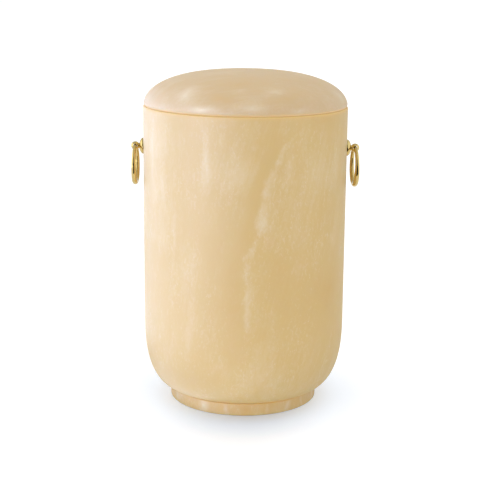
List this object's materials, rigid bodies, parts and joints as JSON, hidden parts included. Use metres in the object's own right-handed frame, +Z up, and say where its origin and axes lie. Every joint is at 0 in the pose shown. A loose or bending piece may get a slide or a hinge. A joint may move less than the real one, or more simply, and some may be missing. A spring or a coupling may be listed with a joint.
{
  "type": "cremation urn",
  "caption": "Covered stone urn with a straight round wall, a domed lift-off lid, a low foot and a hanging brass ring on each side.",
  "frame": {"origin": "on the table, under the centre of the foot", "axes": "+Z up along the turning axis, +X towards the right handle, -Y towards the viewer"},
  "size_m": [0.2024, 0.18, 0.2957],
  "materials": {
    "vessel_stone": "turned alabaster, honed to a satin polish",
    "foot_stone": "turned alabaster with pale bands, honed to a satin polish",
    "lid_stone": "turned alabaster, honed to a satin polish",
    "polished_brass": "turned and polished"
  },
  "bodies": {
    "urn": {"vessel": "vessel_stone", "foot": "foot_stone", "lid": "lid_stone", "left_post": "polished_brass", "right_post": "polished_brass"},
    "left_ring": {"left_ring": "polished_brass"},
    "right_ring": {"right_ring": "polished_brass"}
  },
  "joints": [
    {"name": "left_ring_swing", "type": "hinge", "parent": "urn", "child": "left_ring", "pos_m": [-0.0974, 0, 0.228], "axis": [0, 1, 0], "range_deg": [-8, 188]},
    {"name": "right_ring_swing", "type": "hinge", "parent": "urn", "child": "right_ring", "pos_m": [0.0974, 0, 0.228], "axis": [0, -1, 0], "range_deg": [-8, 188]}
  ]
}
